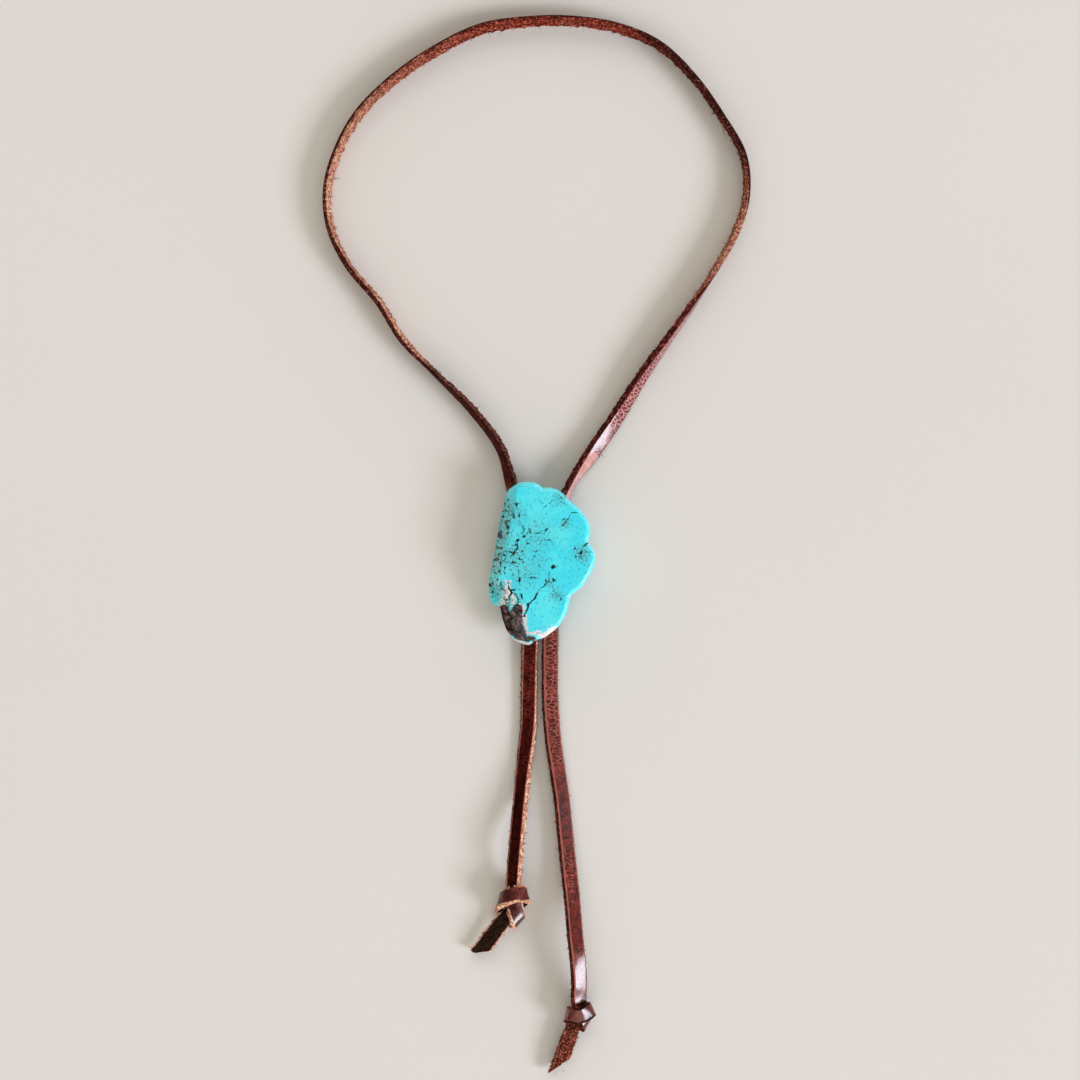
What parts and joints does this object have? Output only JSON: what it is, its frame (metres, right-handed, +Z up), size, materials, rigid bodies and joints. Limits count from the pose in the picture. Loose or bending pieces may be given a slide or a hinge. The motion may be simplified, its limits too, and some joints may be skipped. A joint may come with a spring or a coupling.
{
  "type": "lariat necklace",
  "caption": "Lariat necklace: a flat leather lace looped through a slide under a turquoise slab, with knotted tails, lying flat.",
  "frame": {"origin": "on the table under the middle of the stone and slide", "axes": "+X across the necklace to the wearer's left, +Y along it towards the nape, +Z up off the table, out of the stone's front"},
  "size_m": [0.1361, 0.3363, 0.0112],
  "materials": {
    "leather": "dark reddish brown grain side with a soft sheen, suede flesh side, raw fuzzy cut edges",
    "stone": "polished turquoise with brown-black matrix veins and rough matrix patches",
    "metal": "satin white metal, hidden under the stone"
  },
  "bodies": {
    "root": {"neck_loop": "leather", "left_tail": "leather", "right_tail": "leather", "left_knot": "leather", "right_knot": "leather", "stone": "stone", "slide": "metal"}
  },
  "joints": []
}
